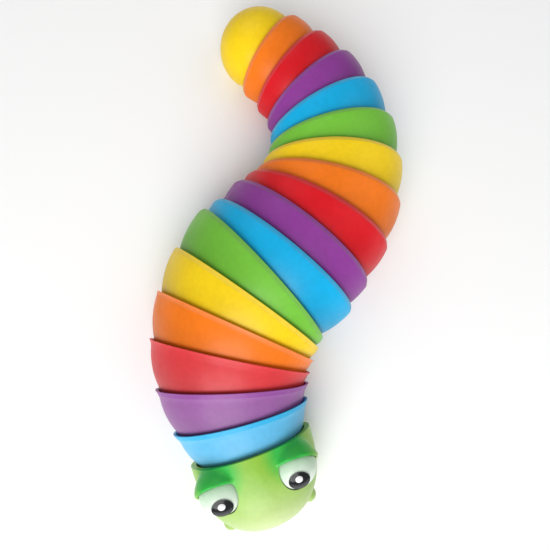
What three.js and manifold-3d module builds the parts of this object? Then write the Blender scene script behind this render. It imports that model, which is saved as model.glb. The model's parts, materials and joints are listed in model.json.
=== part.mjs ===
// A jointed slug fidget toy: a head, a chain of nested bowl-shaped segments and a round tail tip.
// Each piece hangs a C-clip on the next piece's upright post, inside the belly, so the body bends from
// side to side. Units are millimetres. +Z is up, the belly lies on Z = 0 and the head points towards -Y.
import * as THREE from "three";
import { mergeVertices } from "three/addons/utils/BufferGeometryUtils.js";
import Module from "manifold-3d";

const wasm = await Module();
wasm.setup();

// ---- Driving dimensions -------------------------------------------------------------------------

const PITCH = 8.6; // rim to rim along the straightened body
const WALL = 1.5; // moulded wall
const GAP = 0.55; // between a bowl and the rim it nests in
const SEGMENTS = 16; // between the head and the tail tip
const WIDEST = 26.8; // half width of the widest rim
const WIDEST_PLACE = 6; // counted from the head
const HEAD_NARROWING = 9.2; // how much narrower the head's rim is than the widest
const TAIL_NARROWING = 12.3; // and the last segment's rim
const TAPER_SOFTNESS = 0.15; // eases the taper in behind the widest rim
const WAIST = 9.5; // height of the widest level
const ROOF_RATIO = 0.9; // roof above the waist, over half width
const DEPTH = 11; // depth of the belly's curve below the waist, cut flat at the table
const BAND = 1.3; // chamfered band round each rim
const BAND_DROP = 0.5;
const BAND_MARGIN = 0.3; // least distance from a band to the start of the nested part
const COVER = 1.2; // a bowl's edge reaches this far past the rim that covers it
const EDGE_CURVE = 0.8; // of a bowl's front edge, 1 following the swing of the rim in front exactly
const NESTED_SHARES = [0.4, 0.75]; // where the rings of the nested part stand

const BEND_LIMIT = THREE.MathUtils.degToRad(15); // each joint's reach each way from straight
const HEAD_YAW = 17; // degrees, anticlockwise seen from above
// Resting bend of each joint from the head to the tail, in degrees, clockwise seen from above.
const REST_BENDS = [4, 12, 14, 12, 11, 12, -8, -1, -10, -14, -13, -14, -14, -13, -8, -6, -5];
const HINGE_TO_RIM = [-2, 3.2]; // range of the distance from a hinge back to its own rim

const POST_RADIUS = 1.6;
const POST_SIDES = 16;
const HINGE_GAP = 0.35;
const CLIP_RADIUS = 3.3;
const CLIP_STEPS = 14; // round each of its arcs
const CLIP_MOUTH = THREE.MathUtils.degToRad(48); // half angle of the clip's open side
const CLIP_LOW = 4.2;
const CLIP_HIGH = 7;
const ARM_LOW = CLIP_HIGH + HINGE_GAP;
const ARM_HIGH = ARM_LOW + 1.8;
const ARM_HALF_WIDTH = 2.2;
const WEB_START = 3.65;
const WEB_LENGTH = 1.4;
const NECK_SETBACK = 0.2; // keeps the neck's end out of the clip's bore
const HEEL_SETBACK = 1.5; // from the head's rim to the heel under its beam
const PAD_HALF_WIDTH = 2.6; // the pad on the floor that carries the post
const PAD_END = 2.2;
const PAD_LEVEL = [0.2, 1.6];
const PAD_CLEARANCE = 0.6; // from the end of the next pad
const PAD_SETBACK = 0.3; // from the belly opening's edge
const SLOT_HALF_WIDTH = 6.9; // slot in the belly that clears the pad of the piece in front
const OPENING_LEVEL = 4.92; // top of the belly's opening, in the nested part
const OPENING_LENGTH = 3 * PITCH; // well past the piece it cuts
const OPENING_HALF_WIDTH = 1.5 * WIDEST;

const HEAD_LENGTH = 22;
const HEAD_FULLNESS = 2.5; // over 2 makes the snout blunter
const CHIN_FULLNESS = 4;
const EYE_RADIUS = 5.8;
const EYE_PLACE = [10.1, -6.4, 20];
const EYE_GAP = 0.3;
const LID_RADIUS = 6.8;
const LID_LEAN = THREE.MathUtils.degToRad(27); // of the lid's edge, back from upright
const GAZE_LEAN = THREE.MathUtils.degToRad(30); // of the gaze, forward from upright
const PUPIL_RADIUS = 2.8;
const PUPIL_EDGE = 0.2;
const PUPIL_HEIGHT = 0.65; // above its edge
const GLINT_RADIUS = 0.95;
const GLINT_HEIGHT = 0.5;
const GLINT_LEAN = THREE.MathUtils.degToRad(20);
const EYE_STACK_GAP = 0.05; // between the eye and its pupil, and between the pupil and its glint
const EYE_SIDES = 20;
const LID_SIDES = 24;
const PUPIL_CUT_SIDES = 40;
const DOME_SIDES = 18;
const DOME_RINGS = 4;
const NUB_RADIUS = 2.2;
const NUB_SIDES = 14;
const NUB_PLACE = [11.4, -18.2, 9.5];
const SMILE_HALF_WIDTH = 8.5;
const SMILE_LEVEL = 8.2;
const SMILE_RISE = 2.6;
const SMILE_RADIUS = 0.6;
const SMILE_SINK = 0.15; // of the cutter's middle, into the snout
const SMILE_SPANS = 8; // between the points of its path
const SMILE_STEPS = 14;

const TAIL_HINGE = 3.3; // the last hinge, behind the last rim
const TAIL_NECK = 6.7; // the tail tip's open neck, in front of its hinge
const TAIL_STEP = 1.2; // length over which its floor drops to the table, behind the last rim
const TAIL_NECK_SHARES = [1, 0.69, 0.45, 0.27, 0.09]; // where the neck's rings stand
const TAIL_POST_TOP = CLIP_HIGH + 0.8;

const GRID = 1 / 4096; // of every solid's points, before it is joined or cut
const ROUND_STEPS = 24; // points round each cross-section
const DOME_SHARES = [0.12, 0.3, 0.5, 0.68, 0.83, 0.94];
const COLOURS = {
  green: 0x6fbf44,
  blue: 0x19ade3,
  purple: 0x8e459b,
  red: 0xe8212a,
  orange: 0xf68a2c,
  yellow: 0xf6dc1e,
};
const COLOUR_ORDER = ["green", "blue", "purple", "red", "orange", "yellow"]; // repeats from the head
const HEAD_COLOUR = 0x86c64a;
const EYE_COLOUR = 0xe9f4ea;
const PUPIL_COLOUR = 0x1b1d1e;
const GLINT_COLOUR = 0xffffff;
const PLASTIC_ROUGHNESS = 0.35;
const EYE_ROUGHNESS = 0.22;

// ---- Solids -------------------------------------------------------------------------------------

/** A closed three.js geometry as a manifold solid, on a fine grid so that flush faces are exactly flush. */
function solid(geometry) {
  const bare = geometry.clone();
  bare.deleteAttribute("normal");
  bare.deleteAttribute("uv");
  const merged = mergeVertices(bare, 1e-4);
  const mesh = new wasm.Mesh({
    numProp: 3,
    vertProperties: Float32Array.from(merged.attributes.position.array, (v) => Math.round(v / GRID) * GRID),
    triVerts: new Uint32Array(merged.index.array),
  });
  return new wasm.Manifold(mesh);
}

/** A manifold solid as a three.js geometry. */
function geometryOf(made) {
  const mesh = made.getMesh();
  const geometry = new THREE.BufferGeometry();
  geometry.setAttribute("position", new THREE.BufferAttribute(new Float32Array(mesh.vertProperties), 3));
  geometry.setIndex(new THREE.BufferAttribute(new Uint32Array(mesh.triVerts), 1));
  return geometry;
}

/** An upright block between two corners. */
function block([x0, y0, z0], [x1, y1, z1]) {
  const box = new THREE.BoxGeometry(x1 - x0, y1 - y0, z1 - z0);
  return solid(box.translate((x0 + x1) / 2, (y0 + y1) / 2, (z0 + z1) / 2));
}

/** A flat outline in X and Y, raised from one height to another. */
function raised(corners, low, high) {
  const outline = new THREE.Shape(corners.map(([x, y]) => new THREE.Vector2(x, y)));
  const flat = new THREE.ExtrudeGeometry(outline, { depth: high - low, bevelEnabled: false });
  return solid(flat.translate(0, 0, low));
}

/** A ball with an odd number of bands, so that no ring of its points lies level with its centre. */
function ball(radius, centre, sides) {
  const bands = 2 * Math.round(sides * 0.3) + 1;
  const sphere = new THREE.SphereGeometry(radius, sides, bands).rotateX(Math.PI / 2);
  return solid(sphere.translate(...centre));
}

/** A surface through rings of points. One-point rings close its ends, or else the last meets the first. */
function loft(rings) {
  const positions = [];
  const starts = rings.map((ring) => {
    const start = positions.length / 3;
    ring.forEach((point) => positions.push(...point));
    return start;
  });
  const indices = [];
  const join = (a, b) => {
    const count = Math.max(rings[a].length, rings[b].length);
    const at = (ring, i) => starts[ring] + (rings[ring].length === 1 ? 0 : i % count);
    for (let i = 0; i < count; i += 1) {
      if (rings[b].length > 1) indices.push(at(a, i), at(b, i), at(b, i + 1));
      if (rings[a].length > 1) indices.push(at(a, i), at(b, i + 1), at(a, i + 1));
    }
  };
  for (let ring = 0; ring + 1 < rings.length; ring += 1) join(ring, ring + 1);
  if (rings[0].length > 1) join(rings.length - 1, 0);
  const geometry = new THREE.BufferGeometry();
  geometry.setAttribute("position", new THREE.BufferAttribute(new Float32Array(positions), 3));
  geometry.setIndex(indices);
  const made = solid(geometry);
  return made.volume() > 0 ? made : solid(turnedOut(geometry));
}

/** The same surface with its faces turned the other way. */
function turnedOut(geometry) {
  const index = Array.from(geometry.index.array);
  for (let i = 0; i < index.length; i += 3) [index[i], index[i + 1]] = [index[i + 1], index[i]];
  return geometry.setIndex(index);
}

// ---- Cross-sections -----------------------------------------------------------------------------

/** Half width of a rim, by its place from the head. */
function rimHalfWidth(place) {
  if (place < WIDEST_PLACE) return WIDEST - HEAD_NARROWING * ((WIDEST_PLACE - place) / WIDEST_PLACE) ** 2;
  const share = (place - WIDEST_PLACE) / (SEGMENTS - WIDEST_PLACE);
  const eased = (value) => Math.hypot(value, TAPER_SOFTNESS) - TAPER_SOFTNESS;
  return WIDEST - (TAIL_NARROWING * eased(share)) / eased(1);
}

/**
 * A ring of points round a section: an ellipse above the waist, and below it a shallower curve cut flat
 * at the sole. along gives each point's Y.
 */
function sectionRing(size, inset, along) {
  return Array.from({ length: ROUND_STEPS }, (_, step) => {
    const angle = (2 * Math.PI * step) / ROUND_STEPS;
    const across = Math.cos(angle);
    const rise = Math.sin(angle);
    const y = along(across);
    const { halfWidth, roof, depth, sole } = size(y, across);
    const level = rise >= 0 ? WAIST + (roof - inset) * rise : WAIST + (depth - inset) * rise;
    return [across * (halfWidth - inset), y, Math.max(level, sole + inset)];
  });
}

// ---- Bowls --------------------------------------------------------------------------------------

/**
 * A bowl's measures about its own hinge. Its nested part is an ellipsoid round the hinge's axis, so it
 * keeps its distance from the rim in front at every bend.
 */
function bowlOf(place) {
  const rim = rimHalfWidth(place);
  const opening = rimHalfWidth(place - 1) - WALL - GAP;
  const level = (PITCH ** 2 + opening ** 2 - rim ** 2) / (2 * PITCH);
  const back = THREE.MathUtils.clamp(level, ...HINGE_TO_RIM);
  const front = PITCH - back;
  const radius = Math.min(Math.hypot(front, opening), Math.hypot(rim, back));
  const flare = rim - Math.sqrt(radius ** 2 - back ** 2);
  return { rim, opening, back, front, radius, flare, nestedDepth: (DEPTH - WALL - GAP) / opening };
}

/** How far in front of its own rim a bowl can be met by the swinging rim in front, at a width. */
function swingReach({ back, front }, x) {
  const swept = Math.min(front, front / Math.cos(BEND_LIMIT) - Math.abs(x) * Math.tan(BEND_LIMIT));
  return Math.max(BAND + BAND_MARGIN, back + swept - GAP);
}

/** How deep the bowl runs in front of its own rim, at a width, to stay under the rim in front. */
function bowlReach({ back, front }, x) {
  return back + front / Math.cos(BEND_LIMIT) + Math.abs(x) * Math.tan(BEND_LIMIT) + COVER;
}

/** The bowl's section size at a distance in front of its rim. The band is chamfered off the outside only. */
function bowlSize(bowl, distance, x, isInside) {
  const y = bowl.back - distance;
  const round = Math.sqrt(bowl.radius ** 2 - y ** 2);
  const flareLength = swingReach(bowl, bowl.rim);
  const flare = bowl.flare * Math.max(0, 1 - distance / flareLength) ** 2;
  const band = isInside ? 0 : BAND_DROP * Math.max(0, 1 - distance / BAND);
  const halfWidth = round + flare - band;
  const nested = THREE.MathUtils.clamp((distance - BAND) / (swingReach(bowl, x) - BAND), 0, 1);
  return {
    halfWidth,
    roof: ROOF_RATIO * (round + flare) - band,
    depth: THREE.MathUtils.lerp(DEPTH - band, bowl.nestedDepth * round, nested),
    sole: 0,
  };
}

function bowlShell(bowl) {
  const start = (x) => swingReach(bowl, x);
  const end = (x) => bowlReach(bowl, EDGE_CURVE * x);
  const between = NESTED_SHARES.map((share) => (x) => THREE.MathUtils.lerp(start(x), end(x), share));
  const reaches = [() => 0, () => BAND, start, ...between, end];
  const ring = (reach, inset) => {
    const size = (y, across) => bowlSize(bowl, bowl.back - y, across * bowl.radius, inset > 0);
    return sectionRing(size, inset, (across) => bowl.back - reach(across * bowl.radius));
  };
  const outside = reaches.map((reach) => ring(reach, 0));
  const inside = reaches.filter((_, i) => i !== 1).map((reach) => ring(reach, WALL));
  return loft([...outside, ...inside.reverse()]);
}

// ---- Hinges -------------------------------------------------------------------------------------

/** Distance from a piece's own hinge, or the head's rim, back to the next hinge. */
function linkLength(place) {
  const own = place === 0 ? 0 : bowlOf(place).back;
  if (place === SEGMENTS) return own + TAIL_HINGE;
  return own + PITCH - bowlOf(place + 1).back;
}

/** The pad and post that the piece in front clips onto. */
function hingePost(padStart, top) {
  const pad = block([-PAD_HALF_WIDTH, padStart, PAD_LEVEL[0]], [PAD_HALF_WIDTH, PAD_END, PAD_LEVEL[1]]);
  const height = top - PAD_LEVEL[0];
  const post = new THREE.CylinderGeometry(POST_RADIUS, POST_RADIUS, height, POST_SIDES);
  post.rotateX(Math.PI / 2);
  return pad.add(solid(post.translate(0, 0, PAD_LEVEL[0] + height / 2)));
}

/** A C-clip round the next post, open towards the tail. */
function hingeClip(reach) {
  const start = Math.PI / 2 - CLIP_MOUTH;
  const end = Math.PI / 2 + CLIP_MOUTH;
  const outline = new THREE.Shape();
  outline.absarc(0, reach, CLIP_RADIUS, start, end, true);
  outline.absarc(0, reach, POST_RADIUS + HINGE_GAP, end, start, false);
  const options = { depth: CLIP_HIGH - CLIP_LOW, bevelEnabled: false, curveSegments: CLIP_STEPS };
  return solid(new THREE.ExtrudeGeometry(outline, options).translate(0, 0, CLIP_LOW));
}

/** Where the neck of a clip at that reach ends, inside the clip's ring. */
function neckEndOf(reach) {
  return reach - POST_RADIUS - HINGE_GAP - NECK_SETBACK;
}

/** The arm over the post, and the web down from it to the clip. */
function hingeArm(reach) {
  const webEnd = Math.min(WEB_START + WEB_LENGTH, reach - ARM_HALF_WIDTH - HINGE_GAP);
  const neckEnd = neckEndOf(reach);
  const arm = block([-ARM_HALF_WIDTH, 0, ARM_LOW], [ARM_HALF_WIDTH, webEnd, ARM_HIGH]);
  const web = block([-ARM_HALF_WIDTH, WEB_START, CLIP_LOW], [ARM_HALF_WIDTH, webEnd, ARM_HIGH]);
  const neck = block([-ARM_HALF_WIDTH, WEB_START, CLIP_LOW], [ARM_HALF_WIDTH, neckEnd, CLIP_HIGH]);
  return arm.add(web).add(neck);
}

/**
 * The opening in a piece's belly: a chevron that the floor of the piece in front swings in, and a fan that
 * clears its pad, a link's length away. front is the distance from the hinge to the rim in front.
 */
function bellyOpening(front, link) {
  const far = -OPENING_LENGTH;
  const wide = OPENING_HALF_WIDTH;
  const swept = front / Math.cos(BEND_LIMIT) - GAP;
  const shoulder = (swept + GAP - front) / Math.tan(BEND_LIMIT);
  const chevron = [
    [-wide, far],
    [wide, far],
    [wide, wide * Math.tan(BEND_LIMIT) - swept],
    [shoulder, GAP - front],
    [-shoulder, GAP - front],
    [-wide, wide * Math.tan(BEND_LIMIT) - swept],
  ];
  const near = PAD_HALF_WIDTH * Math.sin(BEND_LIMIT) - (link - PAD_END) * Math.cos(BEND_LIMIT) + HINGE_GAP;
  const spread = SLOT_HALF_WIDTH + (near - far) * Math.tan(BEND_LIMIT);
  const fan = [[-spread, far], [spread, far], [SLOT_HALF_WIDTH, near], [-SLOT_HALF_WIDTH, near]];
  return raised(chevron, -1, OPENING_LEVEL).add(raised(fan, -1, WAIST));
}

function segment(place) {
  const bowl = bowlOf(place);
  const inFront = linkLength(place - 1);
  const reach = linkLength(place);
  const shell = bowlShell(bowl).subtract(bellyOpening(bowl.front, inFront));
  const padStart = Math.max(PAD_END + PAD_CLEARANCE - inFront, GAP + PAD_SETBACK - bowl.front);
  return shell.add(hingePost(padStart, ARM_HIGH)).add(hingeArm(reach)).add(hingeClip(reach));
}

// ---- Head and tail tip --------------------------------------------------------------------------

const headRim = rimHalfWidth(0);

/** The head's section size, y from 0 at its rim to -length at the nose. */
function headSize(length, band = 0) {
  return (y) => {
    const share = Math.min(1, -y / length);
    const slim = (1 - share ** HEAD_FULLNESS) ** (1 / HEAD_FULLNESS);
    const chin = (1 - share ** CHIN_FULLNESS) ** (1 / CHIN_FULLNESS);
    return {
      halfWidth: headRim * slim - band,
      roof: ROOF_RATIO * headRim * slim - band,
      depth: DEPTH * chin - band,
      sole: 0,
    };
  };
}

/** The head's outside, or the cavity inside its wall, closed at the nose. */
function headRings(inset) {
  const length = HEAD_LENGTH - inset;
  const places = DOME_SHARES.map((share) => -length * Math.sin((share * Math.PI) / 2));
  const rings = places.map((y) => sectionRing(headSize(HEAD_LENGTH), inset, () => y));
  return [...rings, [[0, -length, WAIST]]];
}

function headCavity() {
  const open = sectionRing(headSize(HEAD_LENGTH), WALL, () => 0);
  const beyond = open.map(([x, , z]) => [x, PITCH, z]);
  return loft([[[0, PITCH, WAIST]], beyond, open, ...headRings(WALL)]);
}

/** A sphere's back part, from the plane of the lid's edge to just short of the head's rim. */
function eyelid(centre) {
  const size = 3 * LID_RADIUS;
  const front = new THREE.BoxGeometry(size, size, size).translate(0, -size / 2, 0);
  front.rotateX(-LID_LEAN).translate(...centre);
  const behind = block([-WIDEST, -EYE_GAP, 0], [WIDEST, PITCH, 2 * WIDEST]);
  return ball(LID_RADIUS, centre, LID_SIDES).subtract(solid(front)).subtract(behind);
}

/** A thin round cutter along the smile, on the front of the snout. */
function smile() {
  const points = Array.from({ length: SMILE_SPANS + 1 }, (_, i) => {
    const x = SMILE_HALF_WIDTH * ((2 * i) / SMILE_SPANS - 1);
    const reach = HEAD_LENGTH * (1 - Math.abs(x / headRim) ** HEAD_FULLNESS) ** (1 / HEAD_FULLNESS);
    return new THREE.Vector3(x, SMILE_SINK - reach, SMILE_LEVEL + SMILE_RISE * (x / SMILE_HALF_WIDTH) ** 2);
  });
  const path = new THREE.CatmullRomCurve3(points);
  const bead = new THREE.Shape().absarc(0, 0, SMILE_RADIUS, 0, Math.PI * 2, false);
  const options = { steps: SMILE_STEPS, curveSegments: 4, extrudePath: path };
  return solid(new THREE.ExtrudeGeometry(bead, options));
}

function mirrored([x, y, z], side) {
  return [x * side, y, z];
}

function headShell() {
  const rim = sectionRing(headSize(HEAD_LENGTH, BAND_DROP), 0, () => 0);
  const band = sectionRing(headSize(HEAD_LENGTH), 0, () => -BAND);
  let made = loft([[[0, 0, WAIST]], rim, band, ...headRings(0)]);
  for (const side of [-1, 1]) {
    const centre = mirrored(EYE_PLACE, side);
    made = made.add(eyelid(centre)).add(ball(NUB_RADIUS, mirrored(NUB_PLACE, side), NUB_SIDES));
    made = made.subtract(ball(EYE_RADIUS + EYE_GAP, centre, EYE_SIDES));
  }
  const reach = linkLength(0);
  const heel = block([-ARM_HALF_WIDTH, -PITCH, WALL / 2], [ARM_HALF_WIDTH, -HEEL_SETBACK, CLIP_HIGH]);
  const beam = block([-ARM_HALF_WIDTH, -PITCH, CLIP_LOW], [ARM_HALF_WIDTH, neckEndOf(reach), CLIP_HIGH]);
  return made.subtract(headCavity()).subtract(smile()).add(heel).add(beam).add(hingeClip(reach));
}

/** An eyeball in its socket, cut flush with the inside of the head's wall. */
function eyeball(side) {
  return ball(EYE_RADIUS, mirrored(EYE_PLACE, side), EYE_SIDES).subtract(headCavity());
}

/** A shallow dome on the eye, leaning forward from upright, its foot at a distance from the eye's centre. */
function eyeDome(side, radius, height, lean, foot) {
  const aim = new THREE.Vector3(0, -Math.sin(lean), Math.cos(lean));
  const curve = (radius ** 2 + height ** 2) / (2 * height);
  const sweep = Math.asin(radius / curve);
  const profile = Array.from({ length: DOME_RINGS + 1 }, (_, i) => {
    const angle = (sweep * (DOME_RINGS - i)) / DOME_RINGS;
    return new THREE.Vector2(curve * Math.sin(angle), foot + height - curve * (1 - Math.cos(angle)));
  });
  const lathe = new THREE.LatheGeometry([new THREE.Vector2(0, foot), ...profile], DOME_SIDES);
  const turn = new THREE.Quaternion().setFromUnitVectors(new THREE.Vector3(0, 1, 0), aim);
  return solid(lathe.applyQuaternion(turn).translate(...mirrored(EYE_PLACE, side)));
}

const pupilFoot = Math.sqrt(EYE_RADIUS ** 2 - PUPIL_RADIUS ** 2) + PUPIL_EDGE;

function pupil(side) {
  const dome = eyeDome(side, PUPIL_RADIUS, PUPIL_HEIGHT, GAZE_LEAN, pupilFoot);
  const clearance = ball(EYE_RADIUS + EYE_STACK_GAP, mirrored(EYE_PLACE, side), PUPIL_CUT_SIDES);
  return dome.subtract(clearance);
}

function glint(side) {
  const foot = pupilFoot + PUPIL_HEIGHT + EYE_STACK_GAP;
  return eyeDome(side, GLINT_RADIUS, GLINT_HEIGHT, GLINT_LEAN, foot);
}

/** The tail tip: a round end about its own hinge, with an open neck inside the last rim. */
function tailTip() {
  const mouth = rimHalfWidth(SEGMENTS) - WALL - GAP;
  const radius = Math.hypot(TAIL_HINGE, mouth);
  const nestedDepth = (DEPTH - WALL - GAP) / mouth;
  const size = (shrink) => (y, across) => {
    const round = radius * shrink;
    const sideways = Math.abs(across) * radius * Math.tan(BEND_LIMIT);
    const swept = TAIL_HINGE / Math.cos(BEND_LIMIT) - sideways - GAP;
    const nested = THREE.MathUtils.clamp(1 - (y + swept) / TAIL_STEP, 0, 1);
    return {
      halfWidth: round,
      roof: ROOF_RATIO * round,
      depth: THREE.MathUtils.lerp(DEPTH * Math.sqrt(shrink), nestedDepth * round, nested),
      sole: 0,
    };
  };
  const ring = (y, inset) => {
    const reach = radius - inset;
    const shrink = Math.sqrt(1 - (Math.min(1, Math.abs(y) / radius)) ** 2);
    return sectionRing(size(shrink), inset, () => (y * reach) / radius);
  };
  const neck = TAIL_NECK_SHARES.map((share) => -TAIL_NECK * share);
  const places = [...neck, ...DOME_SHARES.map((share) => radius * Math.sin((share * Math.PI) / 2))];
  const outside = places.map((y) => ring(y, 0));
  const inside = places.slice(0, -1).map((y) => ring(y, WALL));
  const outer = loft([[[0, -TAIL_NECK, WAIST]], ...outside, [[0, radius, WAIST]]]);
  const beyond = inside[0].map(([x, , z]) => [x, -TAIL_NECK * 2, z]);
  const inner = loft([[[0, -TAIL_NECK * 2, WAIST]], beyond, ...inside, [[0, radius - WALL, WAIST]]]);
  const opening = bellyOpening(TAIL_HINGE, linkLength(SEGMENTS));
  const post = hingePost(GAP + PAD_SETBACK - TAIL_HINGE, TAIL_POST_TOP);
  return outer.subtract(inner).subtract(opening).add(post);
}

// ---- Assembly -----------------------------------------------------------------------------------

const part = new THREE.Group();
part.name = "jointed_slug";

function addPiece(group, name, made, colour, roughness = PLASTIC_ROUGHNESS) {
  const material = new THREE.MeshStandardMaterial({ color: colour, roughness });
  const mesh = new THREE.Mesh(geometryOf(made), material);
  mesh.name = name;
  group.add(mesh);
}

const head = new THREE.Group();
head.rotation.z = THREE.MathUtils.degToRad(HEAD_YAW);
part.add(head);
addPiece(head, "head_shell", headShell(), HEAD_COLOUR);
for (const [name, side] of [["left", 1], ["right", -1]]) {
  addPiece(head, `${name}_eyeball`, eyeball(side), EYE_COLOUR, EYE_ROUGHNESS);
  addPiece(head, `${name}_pupil`, pupil(side), PUPIL_COLOUR, EYE_ROUGHNESS);
  addPiece(head, `${name}_eye_glint`, glint(side), GLINT_COLOUR, EYE_ROUGHNESS);
}

let holder = head;
for (let place = 1; place <= SEGMENTS + 1; place += 1) {
  const body = new THREE.Group();
  body.position.y = linkLength(place - 1);
  body.rotation.z = THREE.MathUtils.degToRad(-REST_BENDS[place - 1]);
  holder.add(body);
  const colour = COLOUR_ORDER[place % COLOUR_ORDER.length];
  const isTail = place > SEGMENTS;
  const name = isTail ? `tail_tip_${colour}` : `segment_${String(place).padStart(2, "0")}_${colour}`;
  addPiece(body, name, isTail ? tailTip() : segment(place), COLOURS[colour]);
  holder = body;
}

// The origin goes to the middle of the base.
part.updateMatrixWorld(true);
const extent = new THREE.Box3().setFromObject(part, true);
const middle = extent.getCenter(new THREE.Vector3());
head.position.set(-middle.x, -middle.y, -extent.min.z);
part.updateMatrixWorld(true);

export default part;
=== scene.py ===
"""Looks of the jointed slug toy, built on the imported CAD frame.

Every shell is rebuilt as a fine smooth mesh from the CAD's formulas and set at its own hinge. Only the
inside of each rim's flare differs: it is longer and straight, so that the next bowl clears it. Lengths in
the formulas are millimetres, and each piece is scaled to metres when its mesh is placed.
"""
import json
import math

import bmesh
import bpy
from mathutils import Matrix, Vector


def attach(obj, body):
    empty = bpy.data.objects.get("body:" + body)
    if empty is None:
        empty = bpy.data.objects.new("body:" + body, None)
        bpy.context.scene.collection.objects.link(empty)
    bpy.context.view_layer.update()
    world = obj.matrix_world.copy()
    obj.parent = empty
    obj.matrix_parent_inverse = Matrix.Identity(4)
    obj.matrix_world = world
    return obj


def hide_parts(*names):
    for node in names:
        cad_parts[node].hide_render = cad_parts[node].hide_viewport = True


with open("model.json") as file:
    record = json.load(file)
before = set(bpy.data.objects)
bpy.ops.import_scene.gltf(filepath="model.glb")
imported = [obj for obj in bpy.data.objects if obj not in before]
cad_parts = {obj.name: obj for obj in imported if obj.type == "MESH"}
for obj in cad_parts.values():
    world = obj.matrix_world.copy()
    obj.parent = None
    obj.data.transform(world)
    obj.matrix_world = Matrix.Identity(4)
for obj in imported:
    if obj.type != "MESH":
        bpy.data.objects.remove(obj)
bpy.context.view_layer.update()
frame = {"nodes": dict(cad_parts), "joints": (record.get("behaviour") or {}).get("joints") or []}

# ---- Driving dimensions, as in the CAD ------------------------------------------------------------

MM = 0.001
PITCH = 8.6
WALL = 1.5
GAP = 0.55
SEGMENTS = 16
WIDEST = 26.8
WIDEST_PLACE = 6
HEAD_NARROWING = 9.2
TAIL_NARROWING = 12.3
TAPER_SOFTNESS = 0.15
WAIST = 9.5
ROOF_RATIO = 0.9
DEPTH = 11
BAND = 1.3
BAND_MARGIN = 0.3
COVER = 1.2
EDGE_CURVE = 0.8
BEND_LIMIT = math.radians(15)
HEAD_YAW = 17
TAIL_BEND = -5
HINGE_TO_RIM = (-2, 3.2)
POST_RADIUS = 1.6
HINGE_GAP = 0.35
CLIP_RADIUS = 3.3
CLIP_MOUTH = math.radians(48)
CLIP_LOW = 4.2
CLIP_HIGH = 7
ARM_LOW = CLIP_HIGH + HINGE_GAP
ARM_HIGH = ARM_LOW + 1.8
ARM_HALF_WIDTH = 2.2
WEB_START = 3.65
WEB_LENGTH = 1.4
NECK_SETBACK = 0.2
HEEL_SETBACK = 1.5
PAD_HALF_WIDTH = 2.6
PAD_END = 2.2
PAD_LEVEL = (0.2, 1.6)
PAD_CLEARANCE = 0.6
PAD_SETBACK = 0.3
SLOT_HALF_WIDTH = 6.9
OPENING_LEVEL = 4.92
OPENING_LENGTH = 3 * PITCH
OPENING_HALF_WIDTH = 1.5 * WIDEST
HEAD_LENGTH = 22
HEAD_FULLNESS = 2.5
CHIN_FULLNESS = 4
EYE_RADIUS = 5.8
EYE_PLACE = Vector((10.1, -6.4, 20))
EYE_GAP = 0.3
LID_RADIUS = 6.8
LID_LEAN = math.radians(27)
GAZE_LEAN = math.radians(30)
PUPIL_RADIUS = 2.8
PUPIL_EDGE = 0.2
PUPIL_HEIGHT = 0.65
GLINT_RADIUS = 0.95
GLINT_HEIGHT = 0.5
GLINT_LEAN = math.radians(20)
EYE_STACK_GAP = 0.05
NUB_RADIUS = 2.2
NUB_PLACE = Vector((11.4, -18.2, 9.5))
SMILE_HALF_WIDTH = 8.5
SMILE_LEVEL = 8.2
SMILE_RISE = 2.6
SMILE_RADIUS = 0.6
SMILE_SINK = 0.15
TAIL_HINGE = 3.3
TAIL_NECK = 6.7
TAIL_STEP = 1.2
TAIL_POST_TOP = CLIP_HIGH + 0.8

# ---- Colours --------------------------------------------------------------------------------------

COLOURS = {
    "green": (0.18, 0.54, 0.045),
    "blue": (0.002, 0.42, 0.77),
    "purple": (0.265, 0.042, 0.3),
    "red": (0.7, 0.005, 0.013),
    "orange": (0.93, 0.2, 0.007),
    "yellow": (0.96, 0.66, 0.006),
}
HEAD_GREEN = (0.28, 0.54, 0.055)
# HEAD_GREEN is the head's own colour; the lid green is painted shade and the snout green painted highlight
LID_SHADE_GREEN = (0.04, 0.5, 0.07)
SNOUT_SHEEN_GREEN = (0.56, 0.68, 0.31)
EYE_WHITE = (0.83, 0.9, 0.82)
# painted shadow of the lid on the eye white
EYE_LID_SHADOW = (0.5, 0.72, 0.5)
PUPIL_DARK = (0.012, 0.013, 0.015)

# painted sheen: share of white mixed into the body colour of the first bowls, standing in for the light that
# falls on the bowls nearest the head
PAINTED_SHEEN_SHARE = 0.12  # of white, in the side of the first bowl that faces the light
SHEEN_FADE_PLACES = 3  # over which it fades

STEPS = 96  # points round each section
CLIP_STEPS = 40
POST_SIDES = 48
HEAD_RINGS = 40
TAIL_RINGS = 24
NECK_RINGS = 12
HEAD_VOXEL = 0.36
SMILE_SPANS = 32
SMILE_SIDES = 12
DOME_RINGS = 12
DOME_SIDES = 48
PUPIL_ROUNDING = 0.12
GLINT_ROUNDING = 0.08


def clamp(value, low, high):
    return max(low, min(high, value))


def lerp(a, b, share):
    return a + (b - a) * share


# ---- Meshes ---------------------------------------------------------------------------------------


def mesh_object(name, points, faces):
    mesh = bpy.data.meshes.new(name)
    mesh.from_pydata([tuple(p) for p in points], [], faces)
    shape = bmesh.new()
    shape.from_mesh(mesh)
    bmesh.ops.remove_doubles(shape, verts=shape.verts, dist=1e-5)
    bmesh.ops.recalc_face_normals(shape, faces=shape.faces)
    shape.to_mesh(mesh)
    shape.free()
    obj = bpy.data.objects.new(name, mesh)
    bpy.context.scene.collection.objects.link(obj)
    return obj


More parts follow.
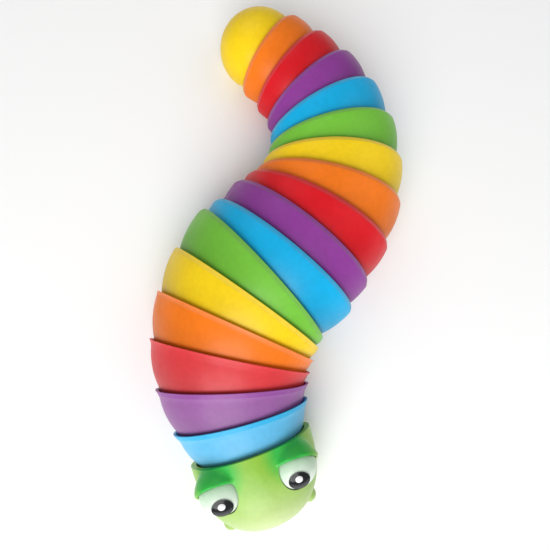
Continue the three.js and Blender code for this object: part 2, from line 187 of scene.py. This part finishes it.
def loft(name, rings):
    """A closed surface through rings. A one-point ring closes an end, or else the last meets the first."""
    points = [p for ring in rings for p in ring]
    starts = [sum(len(r) for r in rings[:i]) for i in range(len(rings))]
    faces = []

    def join(a, b):
        count = max(len(rings[a]), len(rings[b]))
        for i in range(count):
            j = (i + 1) % count
            if len(rings[a]) == 1:
                faces.append((starts[a], starts[b] + i, starts[b] + j))
            elif len(rings[b]) == 1:
                faces.append((starts[a] + i, starts[b], starts[a] + j))
            else:
                faces.append((starts[a] + i, starts[b] + i, starts[b] + j, starts[a] + j))

    for ring in range(len(rings) - 1):
        join(ring, ring + 1)
    if len(rings[0]) > 1:
        join(len(rings) - 1, 0)
    return mesh_object(name, points, faces)


def prism(outline, low, high):
    """A flat outline raised from one height to another."""
    count = len(outline)
    points = [(x, y, low) for x, y in outline] + [(x, y, high) for x, y in outline]
    sides = [(i, (i + 1) % count, count + (i + 1) % count, count + i) for i in range(count)]
    return mesh_object("cutter", points, [tuple(range(count)), tuple(range(count, 2 * count)), *sides])


def block(low, high):
    (x0, y0, z0), (x1, y1, z1) = low, high
    return prism([(x0, y0), (x1, y0), (x1, y1), (x0, y1)], z0, z1)


def ball(radius, centre, steps=64):
    shape = bmesh.new()
    bmesh.ops.create_uvsphere(shape, u_segments=steps, v_segments=steps // 2, radius=radius)
    mesh = bpy.data.meshes.new("ball")
    shape.to_mesh(mesh)
    shape.free()
    mesh.transform(Matrix.Translation(centre))
    obj = bpy.data.objects.new("ball", mesh)
    bpy.context.scene.collection.objects.link(obj)
    return obj


def combine(obj, other, operation):
    """Cuts another closed mesh from this one, or joins it on, and removes the other."""
    modifier = obj.modifiers.new("combine", "BOOLEAN")
    modifier.operation = operation
    modifier.solver = "MANIFOLD"
    modifier.object = other
    apply_modifiers(obj)
    bpy.data.objects.remove(other)
    return obj


def apply_modifiers(obj):
    bpy.context.view_layer.update()
    graph = bpy.context.evaluated_depsgraph_get()
    made = bpy.data.meshes.new_from_object(obj.evaluated_get(graph))
    obj.modifiers.clear()
    obj.data = made


def cut(obj, other):
    return combine(obj, other, "DIFFERENCE")


def add(obj, other):
    return combine(obj, other, "UNION")


# ---- Sections, as in the CAD ----------------------------------------------------------------------


def rim_half_width(place):
    if place < WIDEST_PLACE:
        return WIDEST - HEAD_NARROWING * ((WIDEST_PLACE - place) / WIDEST_PLACE) ** 2
    share = (place - WIDEST_PLACE) / (SEGMENTS - WIDEST_PLACE)
    eased = math.hypot(share, TAPER_SOFTNESS) - TAPER_SOFTNESS
    return WIDEST - TAIL_NARROWING * eased / (math.hypot(1, TAPER_SOFTNESS) - TAPER_SOFTNESS)


def section_ring(size, inset, along):
    """Points round a section. size(y, across) gives half width, roof, depth; along(across) gives y."""
    ring = []
    for step in range(STEPS):
        angle = 2 * math.pi * step / STEPS
        across = math.cos(angle)
        rise = math.sin(angle)
        y = along(across)
        half_width, roof, depth = size(y, across)
        reach = roof if rise >= 0 else depth
        level = max(WAIST + (reach - inset) * rise, inset)
        ring.append((across * (half_width - inset), y, level))
    return ring


class Bowl:
    """A segment's measures about its own hinge."""

    def __init__(self, place):
        self.rim = rim_half_width(place)
        opening = rim_half_width(place - 1) - WALL - GAP
        level = (PITCH ** 2 + opening ** 2 - self.rim ** 2) / (2 * PITCH)
        self.back = clamp(level, *HINGE_TO_RIM)
        self.front = PITCH - self.back
        self.radius = min(math.hypot(self.front, opening), math.hypot(self.rim, self.back))
        self.flare = self.rim - math.sqrt(self.radius ** 2 - self.back ** 2)
        self.nested_depth = (DEPTH - WALL - GAP) / opening

    def swing_reach(self, x):
        swept = min(self.front, self.front / math.cos(BEND_LIMIT) - abs(x) * math.tan(BEND_LIMIT))
        return max(BAND + BAND_MARGIN, self.back + swept - GAP)

    def reach(self, x):
        return self.back + self.front / math.cos(BEND_LIMIT) + abs(x) * math.tan(BEND_LIMIT) + COVER

    def size(self, distance, x, drop, is_inside=False):
        """Section size. Inside, the flare is straight, which leaves room for the next bowl to swing."""
        y = self.back - distance
        round_part = math.sqrt(self.radius ** 2 - y ** 2)
        length = self.swing_reach(self.rim)
        if is_inside:
            flare = self.flare * max(0, 1 - distance / (INNER_FLARE * length))
        else:
            flare = self.flare * max(0, 1 - distance / length) ** 2
        nested = clamp((distance - BAND) / (self.swing_reach(x) - BAND), 0, 1)
        return (
            round_part + flare - drop,
            ROOF_RATIO * (round_part + flare) - drop,
            lerp(DEPTH, self.nested_depth * round_part, nested) - drop,
        )


def link_length(place):
    own = 0 if place == 0 else Bowl(place).back
    if place == SEGMENTS:
        return own + TAIL_HINGE
    return own + PITCH - Bowl(place + 1).back


# The rim's edge and chamfered band: distance in front of the rim, and drop below the full outside.
RIM_PROFILE = [(0.1, 1.36), (0.02, 1.18), (0, 1), (0.02, 0.76), (0.1, 0.6), (0.24, 0.5)]
CREASE = [(BAND - 0.2, 0.1), (BAND - 0.04, 0.02), (BAND + 0.14, 0)]
SHELL_RINGS = 18
INNER_FLARE = 2.2  # length of the inside's flare, over the outside's


def bowl_shell(bowl):
    width = EDGE_CURVE * bowl.radius

    def ring(distance_at, inset, drop):
        size = lambda y, across: bowl.size(bowl.back - y, across * bowl.radius, drop, inset > 0)
        return section_ring(size, inset, lambda across: bowl.back - distance_at(across))

    def spread(share):
        start = BAND + 0.14
        return lambda across: start + (bowl.reach(across * width) - start) * share

    shares = [i / SHELL_RINGS for i in range(1, SHELL_RINGS + 1)]
    edge = [ring(lambda _, d=d: d, 0, drop) for d, drop in RIM_PROFILE]
    band = [ring(lambda _, d=d: d, 0, drop) for d, drop in CREASE]
    outside = [ring(spread(share), 0, 0) for share in shares]
    inside = [ring(spread(share), WALL, 0) for share in reversed([0, *shares])]
    lip = [ring(lambda _: 0.3, WALL, 0)]
    return loft("shell", [*edge, *band, *outside, *inside, *lip])


# ---- Hinges and belly -----------------------------------------------------------------------------


def circle(radius, x, y, start, end, steps):
    angles = [start + (end - start) * i / steps for i in range(steps + 1)]
    return [(x + radius * math.cos(a), y + radius * math.sin(a)) for a in angles]


def hinge_post(pad_start, top):
    pad = block((-PAD_HALF_WIDTH, pad_start, PAD_LEVEL[0]), (PAD_HALF_WIDTH, PAD_END, PAD_LEVEL[1]))
    post = prism(circle(POST_RADIUS, 0, 0, 0, 2 * math.pi, POST_SIDES)[:-1], PAD_LEVEL[0], top)
    return add(pad, post)


def hinge_clip(reach):
    start = math.pi / 2 - CLIP_MOUTH
    end = math.pi / 2 + CLIP_MOUTH - 2 * math.pi
    outer = circle(CLIP_RADIUS, 0, reach, start, end, CLIP_STEPS)
    inner = circle(POST_RADIUS + HINGE_GAP, 0, reach, end, start, CLIP_STEPS)
    return prism(outer + inner, CLIP_LOW, CLIP_HIGH)


def neck_end_of(reach):
    """Where the neck of a clip at that reach ends, inside the clip's ring."""
    return reach - POST_RADIUS - HINGE_GAP - NECK_SETBACK


def hinge_arm(reach):
    web_end = min(WEB_START + WEB_LENGTH, reach - ARM_HALF_WIDTH - HINGE_GAP)
    neck_end = neck_end_of(reach)
    arm = block((-ARM_HALF_WIDTH, 0, ARM_LOW), (ARM_HALF_WIDTH, web_end, ARM_HIGH))
    add(arm, block((-ARM_HALF_WIDTH, WEB_START, CLIP_LOW), (ARM_HALF_WIDTH, web_end, ARM_HIGH)))
    return add(arm, block((-ARM_HALF_WIDTH, WEB_START, CLIP_LOW), (ARM_HALF_WIDTH, neck_end, CLIP_HIGH)))


def cut_belly(shell, front, link):
    """Cuts the chevron that the floor in front swings in, and the fan that clears its pad."""
    far = -OPENING_LENGTH
    wide = OPENING_HALF_WIDTH
    slope = math.tan(BEND_LIMIT)
    swept = front / math.cos(BEND_LIMIT) - GAP
    shoulder = (swept + GAP - front) / slope
    side = wide * slope - swept
    chevron = [(-wide, far), (wide, far), (wide, side), (shoulder, GAP - front)]
    cut(shell, prism([*chevron, (-shoulder, GAP - front), (-wide, side)], -1, OPENING_LEVEL))
    near = PAD_HALF_WIDTH * math.sin(BEND_LIMIT) - (link - PAD_END) * math.cos(BEND_LIMIT) + HINGE_GAP
    spread = SLOT_HALF_WIDTH + (near - far) * slope
    fan = [(-spread, far), (spread, far), (SLOT_HALF_WIDTH, near), (-SLOT_HALF_WIDTH, near)]
    return cut(shell, prism(fan, -1, WAIST))


def segment(place):
    bowl = Bowl(place)
    in_front = link_length(place - 1)
    reach = link_length(place)
    shell = cut_belly(bowl_shell(bowl), bowl.front, in_front)
    pad_start = max(PAD_END + PAD_CLEARANCE - in_front, GAP + PAD_SETBACK - bowl.front)
    add(shell, hinge_post(pad_start, ARM_HIGH))
    add(shell, hinge_arm(reach))
    return add(shell, hinge_clip(reach))


# ---- Tail tip and head ----------------------------------------------------------------------------


def tail_tip():
    mouth = rim_half_width(SEGMENTS) - WALL - GAP
    radius = math.hypot(TAIL_HINGE, mouth)
    nested_depth = (DEPTH - WALL - GAP) / mouth

    def ring(y, inset):
        shrink = math.sqrt(max(0, 1 - (y / radius) ** 2))

        def size(at, across):
            swept = TAIL_HINGE / math.cos(BEND_LIMIT) - abs(across) * radius * math.tan(BEND_LIMIT) - GAP
            nested = clamp(1 - (y + swept) / TAIL_STEP, 0, 1)
            depth = lerp(DEPTH * math.sqrt(shrink), nested_depth * radius * shrink, nested)
            return radius * shrink, ROOF_RATIO * radius * shrink, depth

        return section_ring(size, inset, lambda _: y * (radius - inset) / radius)

    shares = [i / TAIL_RINGS for i in range(1, TAIL_RINGS)]
    neck = [-TAIL_NECK * (1 - i / NECK_RINGS) for i in range(NECK_RINGS)]
    places = [*neck, *(radius * math.sin(s * math.pi / 2) for s in [0, *shares])]
    outer = [[(0, -TAIL_NECK, WAIST)], *(ring(y, 0) for y in places), [(0, radius, WAIST)]]
    inside = [ring(y, WALL) for y in places[:-1]]
    beyond = [(x, -2 * TAIL_NECK, z) for x, _, z in inside[0]]
    inner = [[(0, -2 * TAIL_NECK, WAIST)], beyond, *inside, [(0, radius - WALL, WAIST)]]
    tip = cut(loft("tail", outer), loft("cavity", inner))
    cut_belly(tip, TAIL_HINGE, link_length(SEGMENTS))
    return add(tip, hinge_post(GAP + PAD_SETBACK - TAIL_HINGE, TAIL_POST_TOP))


HEAD_RIM = rim_half_width(0)


def head_rings(inset, start=0):
    """Rings of the head's dome from a distance behind its rim to the nose."""
    length = HEAD_LENGTH - inset

    def ring(share):
        def size(_, across):
            at = math.sin(share * math.pi / 2)
            slim = (1 - at ** HEAD_FULLNESS) ** (1 / HEAD_FULLNESS)
            chin = (1 - at ** CHIN_FULLNESS) ** (1 / CHIN_FULLNESS)
            return HEAD_RIM * slim, ROOF_RATIO * HEAD_RIM * slim, DEPTH * chin

        return section_ring(size, inset, lambda _: -length * math.sin(share * math.pi / 2))

    rings = [ring(i / HEAD_RINGS) for i in range(HEAD_RINGS)]
    behind = [(x, start, z) for x, _, z in rings[0]]
    return [[(0, start, WAIST)], behind, *rings, [(0, -length, WAIST)]]


def mirrored(place, side):
    return Vector((place.x * side, place.y, place.z))


def eyelid(centre):
    lid = ball(LID_RADIUS, centre)
    front = block((-20, -40, -20), (20, 0, 20))
    front.data.transform(Matrix.Translation(centre) @ Matrix.Rotation(-LID_LEAN, 4, "X"))
    return cut(lid, front)


LID_BACKWARD = Vector((0, math.cos(LID_LEAN), -math.sin(LID_LEAN)))  # square to the lid's edge plane
LID_LEAST = EYE_RADIUS + EYE_GAP + 0.4
BLEND_REACH = 5
BLEND_STEPS = 36


def smooth(obj, iterations, group=""):
    modifier = obj.modifiers.new("smooth", "SMOOTH")
    modifier.factor = 0.5
    modifier.iterations = iterations
    modifier.vertex_group = group
    apply_modifiers(obj)


def blend_lids(skin):
    """Melts the back of each lid into the head, and keeps the lid's front edge and its thickness."""
    centres = [mirrored(EYE_PLACE, side) for side in (-1, 1)]
    group = skin.vertex_groups.new(name="blend")
    for vertex in skin.data.vertices:
        for centre in centres:
            offset = vertex.co - centre
            behind = clamp((offset.dot(LID_BACKWARD) - 0.5) / 2, 0, 1)
            close = clamp((LID_RADIUS + BLEND_REACH - offset.length) / 2, 0, 1)
            if behind * close > 0:
                group.add([vertex.index], behind * close, "REPLACE")
    smooth(skin, BLEND_STEPS, group.name)
    for vertex in skin.data.vertices:
        for centre in centres:
            offset = vertex.co - centre
            if offset.dot(LID_BACKWARD) > 0 and offset.length < LID_LEAST:
                vertex.co = centre + offset.normalized() * LID_LEAST


def smile():
    """A round tube along the smile, on the front of the snout."""
    rings = []
    for i in range(SMILE_SPANS + 1):
        x = SMILE_HALF_WIDTH * (2 * i - SMILE_SPANS) / SMILE_SPANS
        reach = HEAD_LENGTH * (1 - abs(x / HEAD_RIM) ** HEAD_FULLNESS) ** (1 / HEAD_FULLNESS)
        centre = Vector((x, SMILE_SINK - reach, SMILE_LEVEL + SMILE_RISE * (x / SMILE_HALF_WIDTH) ** 2))
        slope = 2 * SMILE_RISE * x / SMILE_HALF_WIDTH ** 2
        upward = Vector((-slope, 0, 1)).normalized()
        size = SMILE_RADIUS * (1 - (x / SMILE_HALF_WIDTH) ** 4 * 0.7)
        angles = [2 * math.pi * k / SMILE_SIDES for k in range(SMILE_SIDES)]
        outward = Vector((0, -1, 0))
        rings.append([centre + size * (math.cos(a) * upward + math.sin(a) * outward) for a in angles])
    ends = [[sum(rings[k], Vector()) / SMILE_SIDES] for k in (0, -1)]
    return loft("smile", [ends[0], *rings, ends[1]])


def head_shell():
    skin = loft("head", head_rings(0, start=3))
    for side in (-1, 1):
        add(skin, eyelid(mirrored(EYE_PLACE, side)))
        add(skin, ball(NUB_RADIUS, mirrored(NUB_PLACE, side), 32))
    remesh = skin.modifiers.new("even", "REMESH")
    remesh.mode = "VOXEL"
    remesh.voxel_size = HEAD_VOXEL
    apply_modifiers(skin)
    smooth(skin, 5)
    blend_lids(skin)
    cut(skin, block((-40, 0, -10), (40, 20, 60)))
    cut(skin, block((-40, -60, -10), (40, 20, 0.02)))
    for side in (-1, 1):
        cut(skin, ball(EYE_RADIUS + EYE_GAP, mirrored(EYE_PLACE, side), 72))
    cut(skin, loft("cavity", head_rings(WALL, start=PITCH)))
    cut(skin, smile())
    reach = link_length(0)
    neck_end = neck_end_of(reach)
    add(skin, block((-ARM_HALF_WIDTH, -PITCH, WALL / 2), (ARM_HALF_WIDTH, -HEEL_SETBACK, CLIP_HIGH)))
    add(skin, block((-ARM_HALF_WIDTH, -PITCH, CLIP_LOW), (ARM_HALF_WIDTH, neck_end, CLIP_HIGH)))
    return add(skin, hinge_clip(reach))


def eyeball(side):
    return cut(ball(EYE_RADIUS, mirrored(EYE_PLACE, side), 96), loft("cavity", head_rings(WALL, start=PITCH)))


def eye_dome(side, radius, height, lean, foot, edge):
    """A shallow dome with a rounded edge on the eye, leaning forward from upright."""
    aim = Vector((0, -math.sin(lean), math.cos(lean)))
    curve = (radius ** 2 + height ** 2) / (2 * height)
    sweep = math.asin(radius / curve)
    profile = [(radius - edge, 0), (radius - 0.3 * edge, 0.1 * edge), (radius, 0.5 * edge)]
    for i in range(1, DOME_RINGS + 1):
        angle = sweep * (DOME_RINGS - i) / DOME_RINGS
        profile.append((curve * math.sin(angle) * 0.99, height - curve * (1 - math.cos(angle))))
    angles = [2 * math.pi * k / DOME_SIDES for k in range(DOME_SIDES)]
    rings = [[(r * math.cos(a), r * math.sin(a), foot + h) for a in angles] for r, h in profile[:-1]]
    dome = loft("dome", [[(0, 0, foot)], *rings, [(0, 0, foot + height)]])
    turn = Vector((0, 0, 1)).rotation_difference(aim).to_matrix().to_4x4()
    dome.data.transform(Matrix.Translation(mirrored(EYE_PLACE, side)) @ turn)
    return dome


PUPIL_FOOT = math.sqrt(EYE_RADIUS ** 2 - PUPIL_RADIUS ** 2) + PUPIL_EDGE


def pupil(side):
    dome = eye_dome(side, PUPIL_RADIUS, PUPIL_HEIGHT, GAZE_LEAN, PUPIL_FOOT, PUPIL_ROUNDING)
    return cut(dome, ball(EYE_RADIUS + EYE_STACK_GAP, mirrored(EYE_PLACE, side), 96))


def glint(side):
    foot = PUPIL_FOOT + PUPIL_HEIGHT + EYE_STACK_GAP
    return eye_dome(side, GLINT_RADIUS, GLINT_HEIGHT, GLINT_LEAN, foot, GLINT_ROUNDING)


# ---- Materials ------------------------------------------------------------------------------------


class Nodes:
    """A short way to build a material's node tree."""

    def __init__(self, name):
        self.material = bpy.data.materials.new(name)
        self.material.use_nodes = True
        self.tree = self.material.node_tree
        self.shader = self.tree.nodes["Principled BSDF"]

    def add(self, kind, **inputs):
        node = self.tree.nodes.new(kind)
        for key, value in inputs.items():
            self.feed(node, key.replace("_", " "), value)
        return node

    def feed(self, node, socket, value):
        if isinstance(value, bpy.types.NodeSocket):
            self.tree.links.new(value, node.inputs[socket])
        else:
            node.inputs[socket].default_value = value

    def place(self):
        """Where the surface is, in the piece's own frame."""
        return self.add("ShaderNodeTexCoord").outputs["Object"]

    def noise(self, scale, detail=3, roughness=0.5):
        node = self.add("ShaderNodeTexNoise", Vector=self.place(), Scale=scale, Detail=detail)
        node.inputs["Roughness"].default_value = roughness
        return node.outputs["Fac"]

    def ramp(self, value, low, high, start=0.0, end=1.0):
        node = self.add("ShaderNodeMapRange", Value=value)
        node.interpolation_type = "SMOOTHSTEP"
        for socket, number in (("From Min", low), ("From Max", high), ("To Min", start), ("To Max", end)):
            node.inputs[socket].default_value = number
        return node.outputs["Result"]

    def mix(self, share, first, second):
        node = self.tree.nodes.new("ShaderNodeMix")
        node.data_type = "RGBA"
        self.feed(node, 0, share)
        self.feed(node, 6, first)
        self.feed(node, 7, second)
        return node.outputs[2]

    def maths(self, operation, *values):
        node = self.tree.nodes.new("ShaderNodeMath")
        node.operation = operation
        for i, value in enumerate(values):
            self.feed(node, i, value)
        return node.outputs[0]

    def bump(self, height, strength, distance):
        node = self.add("ShaderNodeBump", Height=height, Strength=strength, Distance=distance)
        self.feed(self.shader, "Normal", node.outputs["Normal"])


def colour(rgb, factor=1.0, white=0.0):
    return tuple(lerp(c * factor, 1, white) for c in rgb) + (1,)


def moulded_plastic(nodes, base, roughness=0.42):
    """The finish that all the plastics share: cloudy pigment, fine orange peel, faint rubbed patches."""
    cloud = nodes.ramp(nodes.noise(55, 4), 0.35, 0.65, 0, 0.16)
    grain = nodes.ramp(nodes.noise(700, 3), 0.3, 0.7, 0, 0.1)
    tinted = nodes.mix(nodes.maths("ADD", cloud, grain), base, nodes.mix(0.5, base, (0, 0, 0, 1)))
    nodes.feed(nodes.shader, "Base Color", tinted)
    rubbed = nodes.ramp(nodes.noise(130, 5, 0.6), 0.45, 0.7, roughness, roughness + 0.12)
    nodes.feed(nodes.shader, "Roughness", rubbed)
    peel = nodes.maths("ADD", nodes.noise(420, 2), nodes.maths("MULTIPLY", nodes.noise(1900, 2), 0.35))
    nodes.bump(peel, 0.12, 0.00008)
    nodes.shader.inputs["Specular IOR Level"].default_value = 0.22
    nodes.shader.inputs["Coat Weight"].default_value = 0.06
    nodes.shader.inputs["Coat Roughness"].default_value = 0.2
    nodes.shader.inputs["Subsurface Weight"].default_value = 0.12
    nodes.shader.inputs["Subsurface Scale"].default_value = 0.002
    nodes.shader.inputs["Subsurface Radius"].default_value = (1, 1, 1)


def along_axis(nodes, origin, yaw, low, high):
    """0 to 1 along a piece's own axis, from one distance behind its hinge to another, in millimetres."""
    direction = (-math.sin(yaw), math.cos(yaw), 0)
    node = nodes.tree.nodes.new("ShaderNodeVectorMath")
    node.operation = "DOT_PRODUCT"
    nodes.feed(node, 0, nodes.place())
    nodes.feed(node, 1, direction)
    offset = origin.dot(Vector(direction))
    return nodes.ramp(node.outputs["Value"], offset + low * MM, offset + high * MM)


def shaded_towards_front(nodes, base, origin, yaw, rim, painted_sheen=0.0):
    """The base colour with painted shade, darker towards the nested front of a piece where it sits in the
    bowl in front, and whitened by the painted sheen.
    """
    towards_rim = along_axis(nodes, origin, yaw, rim - 12, rim - 1)
    return nodes.mix(towards_rim, colour(base, 0.72, painted_sheen), colour(base, 1.0, painted_sheen))


def segment_material(name, base, origin, yaw, rim, painted_sheen):
    nodes = Nodes(name)
    # painted highlight: the rim's chamfered band and edge keep the plain colour with a little white, a faint
    # light line along the band
    at_band = along_axis(nodes, origin, yaw, rim - BAND - 0.1, rim - BAND + 0.15)
    body = shaded_towards_front(nodes, base, origin, yaw, rim, painted_sheen)
    moulded_plastic(nodes, nodes.mix(at_band, body, colour(base, 1.0, 0.04)))
    return nodes.material


def tail_material(base, origin, yaw):
    nodes = Nodes("tail_plastic")
    # painted shade: the tail tip is also darker towards its nested front
    moulded_plastic(nodes, shaded_towards_front(nodes, base, origin, yaw, TAIL_HINGE))
    return nodes.material


def near(nodes, point, low, high):
    """1 close to a point in the row frame, falling to 0."""
    node = nodes.tree.nodes.new("ShaderNodeVectorMath")
    node.operation = "DISTANCE"
    nodes.feed(node, 0, nodes.place())
    nodes.feed(node, 1, tuple(point))
    return nodes.ramp(node.outputs["Value"], low * MM, high * MM, 1, 0)


def head_material(matrix):
    nodes = Nodes("head_plastic")
    base = colour(HEAD_GREEN)
    # painted highlight: the head is paled towards the snout, standing in for the light that falls on its
    # front
    snout = matrix @ (Vector((0, -HEAD_LENGTH, 16)) * MM)
    base = nodes.mix(near(nodes, snout, 4, 22), base, colour(SNOUT_SHEEN_GREEN))
    # painted shade: the head turns a darker, deeper green over each lid
    for side in (-1, 1):
        lid = matrix @ ((mirrored(EYE_PLACE, side) + Vector((0, 4.5, 3.5))) * MM)
        base = nodes.mix(near(nodes, lid, 3.5, 9), base, colour(LID_SHADE_GREEN))
    moulded_plastic(nodes, base, 0.32)
    return nodes.material


def eye_material(matrix, side):
    nodes = Nodes("eye_white")
    # painted shadow: the eye white turns a darker, greener white away from its front, under the lid
    front = matrix @ ((mirrored(EYE_PLACE, side) + Vector((0, -5, 3))) * MM)
    white = nodes.mix(near(nodes, front, 2.5, 9), colour(EYE_LID_SHADOW), colour(EYE_WHITE))
    moulded_plastic(nodes, white, 0.2)
    return nodes.material


def pupil_material():
    nodes = Nodes("pupil_black")
    moulded_plastic(nodes, colour(PUPIL_DARK), 0.14)
    return nodes.material


def glowing_glint_material():
    nodes = Nodes("glint_white")
    moulded_plastic(nodes, (0.9, 0.9, 0.9, 1), 0.2)
    # painted glow: the glint's printed white dot gives off a little light of its own, though it is no lamp
    nodes.shader.inputs["Emission Color"].default_value = (1, 1, 1, 1)
    nodes.shader.inputs["Emission Strength"].default_value = 0.1
    return nodes.material


# ---- Placing the pieces ---------------------------------------------------------------------------

hinges = [Vector(joint["pos_m"]) for joint in frame["joints"]]
for hinge in hinges:
    hinge.z = 0
head_yaw = math.radians(HEAD_YAW)
head_origin = hinges[0] - Vector((-math.sin(head_yaw), math.cos(head_yaw), 0)) * link_length(0) * MM


def yaw_between(first, second):
    return math.atan2(-(second.x - first.x), second.y - first.y)


def placing(origin, yaw):
    return Matrix.Translation(origin) @ Matrix.Rotation(yaw, 4, "Z")


def settle(obj, name, body, node, matrix, material, angle=34):
    """Names a finished piece, sets it at its place and hands it to the frame."""
    obj.name = name
    obj.data.name = name
    obj.data.transform(matrix @ Matrix.Scale(MM, 4))
    obj.data.materials.clear()
    obj.data.materials.append(material)
    obj.data.shade_smooth()
    obj.data.set_sharp_from_angle(angle=math.radians(angle))
    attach(obj, body)
    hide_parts(node)


def build_head():
    matrix = placing(head_origin, head_yaw)
    settle(head_shell(), "head_skin", "head", "head_shell", matrix, head_material(matrix))
    dark = pupil_material()
    glowing_white = glowing_glint_material()
    for word, side in (("left", 1), ("right", -1)):
        white = eye_material(matrix, side)
        settle(eyeball(side), f"{word}_eye", "head", f"{word}_eyeball", matrix, white)
        settle(pupil(side), f"{word}_eye_pupil", "head", f"{word}_pupil", matrix, dark)
        settle(glint(side), f"{word}_eye_shine", "head", f"{word}_eye_glint", matrix, glowing_white)


def build_body():
    for place, hinge in enumerate(hinges[:-1], 1):
        yaw = yaw_between(hinge, hinges[place])
        body = frame["joints"][place - 1]["child"]
        node = next(name for name in frame["nodes"] if name.startswith(body))
        hue = node.split("_")[-1]
        # painted sheen: the first bowls are whitened, fading over the next ones
        painted_sheen = PAINTED_SHEEN_SHARE * max(0, 1 - (place - 1) / SHEEN_FADE_PLACES)
        material = segment_material(f"{body}_plastic", COLOURS[hue], hinge, yaw, Bowl(place).back, painted_sheen)
        settle(segment(place), f"{body}_bowl", body, node, placing(hinge, yaw), material)
    yaw = yaw_between(hinges[-2], hinges[-1]) - math.radians(TAIL_BEND)
    material = tail_material(COLOURS["yellow"], hinges[-1], yaw)
    matrix = placing(hinges[-1], yaw)
    settle(tail_tip(), "tail_dome", "tail_tip", "tail_tip_yellow", matrix, material)


# ---- Studio ---------------------------------------------------------------------------------------


def floor():
    mesh = bpy.data.meshes.new("floor")
    mesh.from_pydata([(-3, -3, 0), (3, -3, 0), (3, 3, 0), (-3, 3, 0)], [], [(0, 1, 2, 3)])
    obj = bpy.data.objects.new("floor", mesh)
    bpy.context.scene.collection.objects.link(obj)
    nodes = Nodes("pale_floor")
    nodes.shader.inputs["Base Color"].default_value = (0.92, 0.92, 0.92, 1)
    nodes.shader.inputs["Roughness"].default_value = 0.9
    mesh.materials.append(nodes.material)
    return obj


def softbox(name, place, target, size, energy):
    data = bpy.data.lights.new(name, "AREA")
    data.shape = "DISK"
    data.size = size
    data.energy = energy
    obj = bpy.data.objects.new(name, data)
    bpy.context.scene.collection.objects.link(obj)
    obj.location = place
    obj.rotation_euler = (Vector(target) - Vector(place)).to_track_quat("-Z", "Y").to_euler()
    return obj


def studio():
    lights = [
        softbox("key", (-0.12, -0.5, 0.45), (0, 0, 0.01), 0.6, 4.9),
        softbox("fill", (0.6, 0.1, 0.6), (0, 0, 0.01), 0.8, 1.1),
        softbox("back", (-0.3, 0.6, 0.6), (0, 0, 0.01), 0.7, 1.1),
    ]
    world = bpy.data.worlds.new("studio")
    world.use_nodes = True
    background = world.node_tree.nodes["Background"]
    background.inputs["Color"].default_value = (1, 1, 1, 1)
    background.inputs["Strength"].default_value = 0.33
    bpy.context.scene.world = world
    bpy.context.scene.view_settings.view_transform = "Standard"
    floor()


CAMERA_PLACE = Vector((1.2, 31, 140))  # from the middle of the head's rim, in millimetres
CAMERA_AIM = Vector((7.8, 48.7, WAIST))
CAMERA_LENS = 28.5
CAMERA_ROLL = math.radians(1)


def camera():
    data = bpy.data.cameras.new("camera")
    data.sensor_width = 36
    data.lens = CAMERA_LENS
    data.clip_start = 0.01
    obj = bpy.data.objects.new("camera", data)
    bpy.context.scene.collection.objects.link(obj)
    obj.location = head_origin + CAMERA_PLACE * MM
    target = head_origin + CAMERA_AIM * MM
    forward = (target - obj.location).normalized()
    right = forward.cross(Vector((math.sin(CAMERA_ROLL), math.cos(CAMERA_ROLL), 0))).normalized()
    upward = right.cross(forward)
    obj.rotation_euler = Matrix((right, upward, -forward)).transposed().to_euler()
    bpy.context.scene.camera = obj


build_head()
build_body()
studio()
camera()
